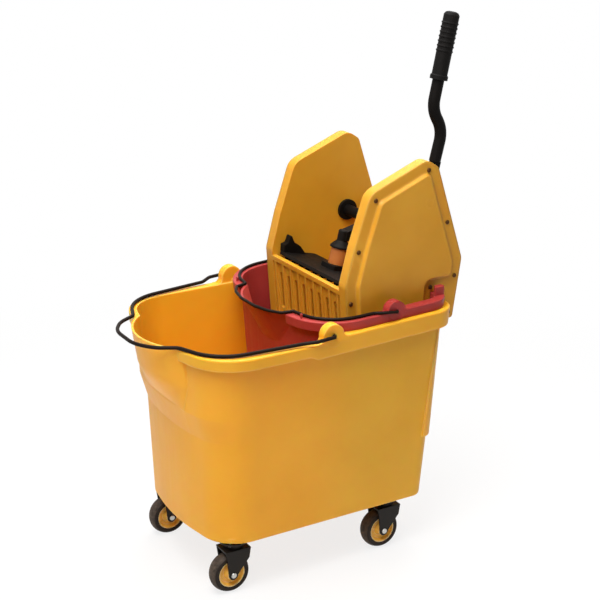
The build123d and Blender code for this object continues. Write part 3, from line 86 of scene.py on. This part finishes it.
noiseSpan = {"From Min": 0.3, "From Max": 0.7}  # nearly all values of a noise lie in here
edgeSpan = {"From Min": 0.995, "From Max": 0.8}  # cosine where the edge line starts, and is full
chipSpan = {"From Min": 0.52, "From Max": 0.68}  # only the peaks of the noise chip through
treadSpan = {"From Min": 0.8, "From Max": 0.3}  # sideways share of a normal, sidewall to tread
reliefMm = {"draw": 0.3, "grain": 0.2, "peel": 0.2}  # height of each pattern at full strength


def twoTone(look, low, high):
    return {"data_type": "RGBA", "A": linearColour(look[low]), "B": linearColour(look[high])}


def glossRange(look):
    return {**noiseSpan, "To Min": look["gloss"][0], "To Max": look["gloss"][1]}


def softEdges(tree, edgeMm):
    # a normal that rounds the sharp edges
    soft = addNode(tree, "ShaderNodeBevel", {"samples": 6, "Radius": edgeMm * millimetre})
    return soft.outputs["Normal"]


def edgeHighlightAndWear(tree, softNormal):
    # 1 where the rounded normal departs from the face: the line along an edge
    # on the moulded plastics this line is a painted highlight, on the coated steel it is wear
    face = addNode(tree, "ShaderNodeNewGeometry")
    turned = addNode(tree, "ShaderNodeVectorMath", {"operation": "DOT_PRODUCT"},
                     {0: softNormal, 1: face.outputs["Normal"]})
    mask = addNode(tree, "ShaderNodeMapRange", edgeSpan, {"Value": turned.outputs["Value"]})
    return mask.outputs["Result"]


def mouldedPlastic(name, look):
    material, tree, place = startMaterial(name)
    normal = softEdges(tree, look["edgeMm"])
    # the pigment drifts a little over the moulding
    drift = addNode(tree, "ShaderNodeTexNoise",
                    {"Scale": perMetre(look["driftMm"]), "Detail": 3}, {"Vector": place})
    pigment = addNode(tree, "ShaderNodeMapRange", noiseSpan, {"Value": drift.outputs["Fac"]})
    skin = addNode(tree, "ShaderNodeMix", twoTone(look, "deep", "pale"),
                   {"Factor": pigment.outputs["Result"]})
    # painted highlight: the edges are mixed towards the paler edge colour, as if they caught light
    paintedEdgeHighlight = addNode(tree, "ShaderNodeMath", {"operation": "MULTIPLY", 1: look["edgeShow"]},
                     {0: edgeHighlightAndWear(tree, normal)})
    edgeToned = addNode(tree, "ShaderNodeMix", {"data_type": "RGBA", "B": linearColour(look["edge"])},
                   {"Factor": paintedEdgeHighlight.outputs["Value"], "A": skin.outputs["Result"]})
    # draw marks run along the way the part left its mould
    drawn = addNode(tree, "ShaderNodeMapping", {"Scale": (1, 1, look["drawStretch"])},
                    {"Vector": place})
    marks = addNode(tree, "ShaderNodeTexNoise",
                    {"Scale": perMetre(look["drawMm"]), "Detail": 4, "Roughness": 0.6},
                    {"Vector": drawn.outputs["Vector"]})
    gloss = addNode(tree, "ShaderNodeMapRange", glossRange(look), {"Value": marks.outputs["Fac"]})
    flow = addNode(tree, "ShaderNodeBump",
                   {"Strength": look["drawDepth"], "Distance": reliefMm["draw"] * millimetre},
                   {"Height": marks.outputs["Fac"], "Normal": normal})
    # spark-eroded mould grain is about 0.3 mm, drawn coarser so that it shows
    grain = addNode(tree, "ShaderNodeTexNoise",
                    {"Scale": perMetre(look["grainMm"]), "Detail": 2}, {"Vector": place})
    bump = addNode(tree, "ShaderNodeBump",
                   {"Strength": look["grainDepth"], "Distance": reliefMm["grain"] * millimetre},
                   {"Height": grain.outputs["Fac"], "Normal": flow.outputs["Normal"]})
    shader = addNode(
        tree, "ShaderNodeBsdfPrincipled",
        {"IOR": look["ior"], "Specular IOR Level": look["sheen"],
         "Subsurface Weight": look["glow"], "Subsurface Scale": 1.0,
         "Subsurface Radius": tuple(reach * millimetre for reach in look["glowMm"])},
        {"Base Color": edgeToned.outputs["Result"], "Roughness": gloss.outputs["Result"],
         "Normal": bump.outputs["Normal"]})
    endMaterial(tree, shader)
    return material


def coatedSteel(name, look):
    material, tree, place = startMaterial(name)
    normal = softEdges(tree, look["edgeMm"])
    # the coat is thicker here and there
    film = addNode(tree, "ShaderNodeTexNoise",
                   {"Scale": perMetre(look["filmMm"]), "Detail": 3}, {"Vector": place})
    coat = addNode(tree, "ShaderNodeMix", twoTone(look, "deep", "pale"),
                   {"Factor": film.outputs["Fac"]})
    # small chips, only along the edges
    chips = addNode(tree, "ShaderNodeTexNoise",
                    {"Scale": perMetre(look["chipMm"]), "Detail": 5, "Roughness": 0.7},
                    {"Vector": place})
    chipped = addNode(tree, "ShaderNodeMapRange", {**chipSpan, "To Max": look["edgeShow"]},
                      {"Value": chips.outputs["Fac"]})
    bare = addNode(tree, "ShaderNodeMath", {"operation": "MULTIPLY"},
                   {0: edgeHighlightAndWear(tree, normal), 1: chipped.outputs["Result"]})
    edgeToned = addNode(tree, "ShaderNodeMix", {"data_type": "RGBA", "B": linearColour(look["edge"])},
                   {"Factor": bare.outputs["Value"], "A": coat.outputs["Result"]})
    gloss = addNode(tree, "ShaderNodeMapRange", glossRange(look), {"Value": chips.outputs["Fac"]})
    # the pebbled skin of a baked coat
    peel = addNode(tree, "ShaderNodeTexNoise",
                   {"Scale": perMetre(look["peelMm"]), "Detail": 1}, {"Vector": place})
    bump = addNode(tree, "ShaderNodeBump",
                   {"Strength": look["peelDepth"], "Distance": reliefMm["peel"] * millimetre},
                   {"Height": peel.outputs["Fac"], "Normal": normal})
    shader = addNode(
        tree, "ShaderNodeBsdfPrincipled",
        {"IOR": look["ior"], "Specular IOR Level": look["sheen"]},
        {"Base Color": edgeToned.outputs["Result"], "Roughness": gloss.outputs["Result"],
         "Normal": bump.outputs["Normal"]})
    endMaterial(tree, shader)
    return material


def softRubber(name, look):
    material, tree, place = startMaterial(name)
    normal = softEdges(tree, look["edgeMm"])
    bloom = addNode(tree, "ShaderNodeTexNoise",
                    {"Scale": perMetre(look["bloomMm"]), "Detail": 5, "Roughness": 0.65},
                    {"Vector": place})
    # an axle lies along Y in the piece's own space: a tread faces away from Y and takes more dust
    own = addNode(tree, "ShaderNodeTexCoord")
    facing = addNode(tree, "ShaderNodeSeparateXYZ", links={"Vector": own.outputs["Normal"]})
    sideways = addNode(tree, "ShaderNodeMath", {"operation": "ABSOLUTE"},
                       {0: facing.outputs["Y"]})
    tread = addNode(tree, "ShaderNodeMapRange",
                    {**treadSpan, "To Min": look["dustShow"], "To Max": look["treadShow"]},
                    {"Value": sideways.outputs["Value"]})
    dusted = addNode(tree, "ShaderNodeMapRange",
                     {"From Min": look["dustSpan"][0], "From Max": look["dustSpan"][1]},
                     {"Value": bloom.outputs["Fac"], "To Max": tread.outputs["Result"]})
    skin = addNode(tree, "ShaderNodeMix", twoTone(look, "deep", "dust"),
                   {"Factor": dusted.outputs["Result"]})
    gloss = addNode(tree, "ShaderNodeMapRange", glossRange(look), {"Value": bloom.outputs["Fac"]})
    grain = addNode(tree, "ShaderNodeTexNoise",
                    {"Scale": perMetre(look["grainMm"]), "Detail": 2}, {"Vector": place})
    bump = addNode(tree, "ShaderNodeBump",
                   {"Strength": look["grainDepth"], "Distance": reliefMm["grain"] * millimetre},
                   {"Height": grain.outputs["Fac"], "Normal": normal})
    shader = addNode(
        tree, "ShaderNodeBsdfPrincipled",
        {"IOR": look["ior"], "Specular IOR Level": look["sheen"]},
        {"Base Color": skin.outputs["Result"], "Roughness": gloss.outputs["Result"],
         "Normal": bump.outputs["Normal"]})
    endMaterial(tree, shader)
    return material


def platedSteel(name, look):
    material, tree, place = startMaterial(name)
    bloom = addNode(tree, "ShaderNodeTexNoise",
                    {"Scale": perMetre(look["bloomMm"]), "Detail": 4}, {"Vector": place})
    plate = addNode(tree, "ShaderNodeMix", twoTone(look, "deep", "pale"),
                    {"Factor": bloom.outputs["Fac"]})
    gloss = addNode(tree, "ShaderNodeMapRange", glossRange(look), {"Value": bloom.outputs["Fac"]})
    shader = addNode(
        tree, "ShaderNodeBsdfPrincipled", {"Metallic": 1.0},
        {"Base Color": plate.outputs["Result"], "Roughness": gloss.outputs["Result"],
         "Normal": softEdges(tree, look["edgeMm"])})
    endMaterial(tree, shader)
    return material


# in every look: sizes in mm, gloss is the span of roughness, sheen how strong the mirror light is,
# glow the share of light that goes into the wall, glowMm how far its red, green and blue reach

# edge, edgeShow: colour and strength of the edge line, painted highlight on plastic, wear on steel
wringerLook = {  # the tub's resin in thinner mouldings, a more mustard shade
    "deep": "#CE8F1E", "pale": "#DA9B2A", "driftMm": 110,
    "edge": "#EDBE70", "edgeShow": 0.2, "edgeMm": 2.2,
    "drawMm": 12, "drawStretch": 0.08, "drawDepth": 0.12, "grainMm": 1.4, "grainDepth": 0.8,
    "gloss": (0.38, 0.5), "ior": 1.49, "sheen": 0.3, "glow": 0.3, "glowMm": (10, 4, 1)}
materials = {
    # warm satin skin with faint upright draw marks, a little light comes through the wall
    # the pale edge tone is a painted highlight along every edge of the tub
    "yellow_tub_plastic": mouldedPlastic("polypropylene moulded yellow", {
        "deep": "#E8A41E", "pale": "#F0AD28", "driftMm": 140,
        "edge": "#F8CC7A", "edgeShow": 0.45, "edgeMm": 4.5,
        "drawMm": 14, "drawStretch": 0.06, "drawDepth": 0.15, "grainMm": 1.4, "grainDepth": 0.8,
        "gloss": (0.36, 0.46), "ior": 1.49, "sheen": 0.3, "glow": 0.5, "glowMm": (14, 6, 1.5)}),
    # sharp ribs and slots, with only a thin painted highlight along the edges
    "yellow_wringer_plastic": mouldedPlastic("polypropylene moulded mustard", wringerLook),
    # deep red, with a slightly lighter painted highlight along the edges
    "red_plastic": mouldedPlastic("polypropylene moulded red", {
        "deep": "#9C302E", "pale": "#A83934", "driftMm": 120,
        "edge": "#B85049", "edgeShow": 0.2, "edgeMm": 2.5,
        "drawMm": 12, "drawStretch": 0.06, "drawDepth": 0.15, "grainMm": 1.4, "grainDepth": 0.8,
        "gloss": (0.36, 0.48), "ior": 1.49, "sheen": 0.25, "glow": 0.2, "glowMm": (8, 1.5, 1)}),
    # dry brownish black with a fine glassy grain, a faint painted highlight on the edges
    "black_plastic": mouldedPlastic("nylon moulded black glass filled", {
        "deep": "#0B0806", "pale": "#120E0A", "driftMm": 40,
        "edge": "#2C2520", "edgeShow": 0.3, "edgeMm": 1.2,
        "drawMm": 8, "drawStretch": 0.5, "drawDepth": 0.12, "grainMm": 1.1, "grainDepth": 0.45,
        "gloss": (0.5, 0.64), "ior": 1.53, "sheen": 0.08, "glow": 0.0, "glowMm": (1, 1, 1)}),
    # clear golden yellow of the wheel centres, a pale painted highlight round the lip of the dish
    "yellow_hub_plastic": mouldedPlastic("polypropylene moulded golden wheel centre", {
        "deep": "#EBB546", "pale": "#F0BE54", "driftMm": 18,
        "edge": "#FFEBC0", "edgeShow": 1.0, "edgeMm": 2.4,
        "drawMm": 6, "drawStretch": 1.0, "drawDepth": 0.05, "grainMm": 0.9, "grainDepth": 0.12,
        "gloss": (0.4, 0.54), "ior": 1.49, "sheen": 0.4, "glow": 0.2, "glowMm": (5, 2, 1)}),
    # smooth dark line with a thin highlight
    "black_wire": coatedSteel("steel wire dipped black", {
        "deep": "#120A06", "pale": "#1A110B", "filmMm": 40,
        "edge": "#3A332E", "edgeShow": 0.0, "edgeMm": 0.3,
        "chipMm": 9, "peelMm": 2.5, "peelDepth": 0.12,
        "gloss": (0.4, 0.54), "ior": 1.5, "sheen": 0.08}),
    # slightly pebbled dull sheen along the bent tube
    "black_tube": coatedSteel("steel tube powder coated black", {
        "deep": "#0B0908", "pale": "#110E0C", "filmMm": 50,
        "edge": "#3A332E", "edgeShow": 0.3, "edgeMm": 0.5,
        "chipMm": 11, "peelMm": 1.8, "peelDepth": 0.25,
        "gloss": (0.48, 0.62), "ior": 1.5, "sheen": 0.06}),
    # thin lacquer on pressed sheet, rubbed to grey here and there along the edges
    "black_castor_steel": coatedSteel("steel pressed black lacquered", {
        "deep": "#140F0A", "pale": "#1E1812", "filmMm": 25,
        "edge": "#4A433D", "edgeShow": 0.5, "edgeMm": 0.8,
        "chipMm": 7, "peelMm": 1.5, "peelDepth": 0.18,
        "gloss": (0.36, 0.5), "ior": 1.5, "sheen": 0.2}),
    # dull and soft in the hand
    "black_grip": softRubber("thermoplastic rubber moulded black", {
        "deep": "#0D0B0A", "dust": "#282320", "dustSpan": (0.45, 0.75),
        "dustShow": 0.2, "treadShow": 0.2, "edgeMm": 0.6, "bloomMm": 14,
        "grainMm": 0.7, "grainDepth": 0.3, "gloss": (0.56, 0.7), "ior": 1.52, "sheen": 0.08}),
    # brown-black sidewalls and a scuffed, dusty tread
    "tyre": softRubber("rubber moulded black tread", {
        "deep": "#1A130E", "dust": "#66584C", "dustSpan": (0.2, 0.75),
        "dustShow": 0.12, "treadShow": 0.9, "edgeMm": 0.8, "bloomMm": 9,
        "grainMm": 0.8, "grainDepth": 0.35, "gloss": (0.55, 0.75), "ior": 1.52, "sheen": 0.18}),
    # small bright heads of the axle bolts and nuts
    "zinc_steel": platedSteel("steel zinc plated", {
        "deep": "#AFAEA8", "pale": "#D0CFC9", "edgeMm": 0.4, "bloomMm": 5, "gloss": (0.24, 0.38)}),
    # brown heads that read as dots on the covers
    "dark_screw_steel": platedSteel("steel oil blackened", {
        "deep": "#53371E", "pale": "#664628", "edgeMm": 0.4, "bloomMm": 4, "gloss": (0.4, 0.55)}),
}
# the covers' raised panels have broad rounded edges, so a broad painted highlight runs along them
coverPlastic = mouldedPlastic("polypropylene moulded mustard cover", {**wringerLook, "edgeMm": 6})
# press foot: same resin in burnt orange, darker than the cheeks beside it, partly painted shade
footPlastic = mouldedPlastic("polypropylene moulded burnt orange with painted shade", {
    **wringerLook, "deep": "#A65C24", "pale": "#B4692D", "edge": "#CF9355", "driftMm": 40})
ownPlastic = {
    "cheek_cover_near": coverPlastic, "cheek_cover_far": coverPlastic, "press_foot": footPlastic}
for entry in subparts:
    mesh = nodes[entry["node"]].data
    mesh.materials.clear()
    mesh.materials.append(ownPlastic.get(entry["node"], materials[entry["material_slot"]]))
print("stage: materials on", len(subparts), "nodes")


def screwSpots(nodeName, outward):
    # middle of each head's outer face and the screw's whole length, from a copy of the node's mesh
    weld, faceDepth = 0.001 * millimetre, 0.02 * millimetre
    copy = bmesh.new()
    copy.from_mesh(nodes[nodeName].data)
    bmesh.ops.remove_doubles(copy, verts=copy.verts, dist=weld)
    spots, reached = [], set()
    for first in copy.verts:
        if first in reached:
            continue
        reached.add(first)
        island, queue = [], [first]  # all corners of one screw
        while queue:
            corner = queue.pop()
            island.append(corner.co.copy())
            for edge in corner.link_edges:
                other = edge.other_vert(corner)
                if other not in reached:
                    reached.add(other)
                    queue.append(other)
        heights = [point.dot(outward) for point in island]
        top = max(heights)
        rim = [point for point, height in zip(island, heights) if top - height < faceDepth]
        spots.append((sum(rim, Vector()) / len(rim), top - min(heights)))
    copy.free()
    return spots


# outline of a pan head, as shares of its radius and height, and how far the recess narrows
panDome = [(1.0, 0.0), (1.0, 0.3), (0.94, 0.62), (0.82, 0.86), (0.66, 1.0)]
recessTaper = 0.8


def panScrews(pieceName, nodeName, body, slotName, outward, look):
    # domed pan heads with a punched cross recess, each on its shank, in place of the plain solids
    head, height, shank = (look[key] * millimetre for key in ("head", "height", "shank"))
    reach, half, pocket = (look[key] * millimetre for key in ("reach", "half", "pocket"))
    side = Vector((1, 0, 0))
    across = outward.cross(side)
    angles = [2 * math.pi * step / look["sides"] for step in range(look["sides"])]
    arms = [(reach, half), (half, half), (half, reach),
            (-half, reach), (-half, half), (-reach, half)]
    arms += [(-x, -y) for x, y in arms]
    shape = bmesh.new()
    for count, (face, total) in enumerate(screwSpots(nodeName, outward)):
        seat = face - outward * height
        profile = [(shank, height - total), (shank, 0)]
        profile += [(wide * head, high * height) for wide, high in panDome]
        rings = []
        for radius, rise in profile:
            middle = seat + outward * rise
            rings.append([shape.verts.new(
                middle + radius * (side * math.cos(a) + across * math.sin(a))) for a in angles])
        shape.faces.new(rings[0])
        for low, high in zip(rings, rings[1:]):
            for i in range(len(angles)):
                j = (i + 1) % len(angles)
                shape.faces.new((low[i], low[j], high[j], high[i])).smooth = True
        spin = math.radians(look["turn"] * count)  # every driver stops somewhere else
        spun = [side * (x * math.cos(spin) - y * math.sin(spin))
                + across * (x * math.sin(spin) + y * math.cos(spin)) for x, y in arms]
        lip = [shape.verts.new(face + arm) for arm in spun]
        well = [shape.verts.new(face - outward * pocket + recessTaper * arm) for arm in spun]
        for i in range(len(arms)):
            j = (i + 1) % len(arms)
            shape.faces.new((lip[i], lip[j], well[j], well[i]))
        shape.faces.new(well)
        border = [shape.edges.get((loop[i], loop[i - 1]))
                  for loop in (rings[-1], lip) for i in range(len(loop))]
        bmesh.ops.triangle_fill(shape, use_beauty=True, edges=border)
    bmesh.ops.recalc_face_normals(shape, faces=shape.faces)
    mesh = bpy.data.meshes.new(pieceName)
    shape.to_mesh(mesh)
    shape.free()
    mesh.materials.append(materials[slotName])
    piece = bpy.data.objects.new(pieceName, mesh)
    scene.collection.objects.link(piece)
    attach(piece, body)
    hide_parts(nodeName)


# mm: the head's radius and height, the shank's radius, the cross recess's half length, half width
# and depth; turn is the angle in degrees from one recess to the next
coverScrew = {"head": 4.2, "height": 2.0, "shank": 1.8,
              "reach": 2.1, "half": 0.55, "pocket": 1.2, "sides": 28, "turn": 37}
panScrews("coverScrewsNear", "cover_screws_near", "wringer", "dark_screw_steel",
          Vector((0, -1, 0)), coverScrew)
panScrews("coverScrewsFar", "cover_screws_far", "wringer", "dark_screw_steel",
          Vector((0, 1, 0)), coverScrew)
castorScrew = {"head": 4.5, "height": 2.5, "shank": 2.5,
               "reach": 2.4, "half": 0.6, "pocket": 1.5, "sides": 28, "turn": 53}
panScrews("castorScrews", "castor_screws", "tub", "zinc_steel", Vector((0, 0, -1)), castorScrew)
print("stage: screws cut")


def seenRays(tree):
    # 1 on rays from the camera and on mirror and glass rays, 0 on the rays that light the object
    path = addNode(tree, "ShaderNodeLightPath")
    total = path.outputs["Is Camera Ray"]
    for kind in ("Is Glossy Ray", "Is Transmission Ray"):
        either = addNode(tree, "ShaderNodeMath", {"operation": "MAXIMUM"},
                         {0: total, 1: path.outputs[kind]})
        total = either.outputs["Value"]
    return total


# lift is how white the camera sees the floor, from the object out to the end of the sweep
floorLook = {"colour": "#F4F3F1", "white": "#FFFFFF", "size": 30.0, "roughness": 0.6,
             "lift": (0.8, 1.0), "sweep": (0.5, 1.5)}
# quiet ground that keeps the contact shadow
floorMaterial, floorTree, floorPlace = startMaterial("vinyl floor pale")
floorShader = addNode(floorTree, "ShaderNodeBsdfPrincipled", {
    "Base Color": linearColour(floorLook["colour"]), "Roughness": floorLook["roughness"]})
floorWhite = addNode(floorTree, "ShaderNodeEmission",
                     {"Color": linearColour(floorLook["white"]), "Strength": 1.0})
floorReach = addNode(floorTree, "ShaderNodeVectorMath", {"operation": "LENGTH"}, {0: floorPlace})
floorFade = addNode(floorTree, "ShaderNodeMapRange", {
    "From Min": floorLook["sweep"][0], "From Max": floorLook["sweep"][1],
    "To Min": floorLook["lift"][0], "To Max": floorLook["lift"][1]},
    {"Value": floorReach.outputs["Value"]})
floorLift = addNode(floorTree, "ShaderNodeMath", {"operation": "MULTIPLY"},
                    {0: seenRays(floorTree), 1: floorFade.outputs["Result"]})
floorMix = addNode(floorTree, "ShaderNodeMixShader", links={
    0: floorLift.outputs["Value"],
    1: floorShader.outputs["BSDF"], 2: floorWhite.outputs["Emission"]})
addNode(floorTree, "ShaderNodeOutputMaterial", links={"Surface": floorMix.outputs["Shader"]})
bpy.ops.mesh.primitive_plane_add(size=floorLook["size"], location=(0, 0, 0))
floorPlane = bpy.context.object
floorPlane.name = "studioFloor"
floorPlane.data.materials.append(floorMaterial)
print("stage: floor laid")

worldLook = {"colour": "#FFFFFF", "ambient": 0.06, "backdrop": 1.0}
world = bpy.data.worlds.new("studioWorld")
scene.world = world
world.use_nodes = True
world.node_tree.nodes.clear()
worldColour = linearColour(worldLook["colour"])
ambient = addNode(world.node_tree, "ShaderNodeBackground",
                  {"Color": worldColour, "Strength": worldLook["ambient"]})
backdrop = addNode(world.node_tree, "ShaderNodeBackground",
                   {"Color": worldColour, "Strength": worldLook["backdrop"]})
worldMix = addNode(world.node_tree, "ShaderNodeMixShader", links={
    0: seenRays(world.node_tree),
    1: ambient.outputs["Background"], 2: backdrop.outputs["Background"]})
addNode(world.node_tree, "ShaderNodeOutputWorld", links={"Surface": worldMix.outputs["Shader"]})

lamps = {  # soft boxes, all high, so the pale floor fills the lower walls and the wells stay bright
    "keyBox": {"place": (-0.8, -0.6, 2.0), "aim": (-0.1, 0, 0.3), "size": 1.2, "watts": 37},
    "topBox": {"place": (-0.2, -0.1, 2.4), "aim": (-0.15, 0, 0.3), "size": 1.6, "watts": 36},
    "rearBox": {"place": (0.7, 0.6, 2.1), "aim": (0, 0, 0.4), "size": 1.2, "watts": 24},
}
for lampName, lampLook in lamps.items():
    lampData = bpy.data.lights.new(lampName, "AREA")
    lampData.size = lampLook["size"]
    lampData.energy = lampLook["watts"]
    lamp = bpy.data.objects.new(lampName, lampData)
    scene.collection.objects.link(lamp)
    lamp.location = lampLook["place"]
    towards = Vector(lampLook["aim"]) - lamp.location
    lamp.rotation_euler = towards.to_track_quat("-Z", "Y").to_euler()
print("stage: studio lit")

# degrees, metres, and the lens and sensor in mm
shot = {"azimuth": -30.6, "elevation": 19.5, "distance": 2.6486, "aim": (0.0622, 0.0, 0.4745),
        "lens": 86.4, "sensor": 36, "farClip": 100}
cameraData = bpy.data.cameras.new("studioCamera")
camera = bpy.data.objects.new("studioCamera", cameraData)
scene.collection.objects.link(camera)
turn, rise = math.radians(shot["azimuth"]), math.radians(shot["elevation"])
back = Vector((math.sin(turn) * math.cos(rise), -math.cos(turn) * math.cos(rise), math.sin(rise)))
camera.location = Vector(shot["aim"]) + back * shot["distance"]
camera.rotation_euler = (-back).to_track_quat("-Z", "Y").to_euler()
cameraData.lens = shot["lens"]
cameraData.sensor_width = shot["sensor"]
cameraData.clip_end = shot["farClip"]
scene.camera = camera
scene.view_settings.view_transform = "Standard"
print("stage: camera placed")
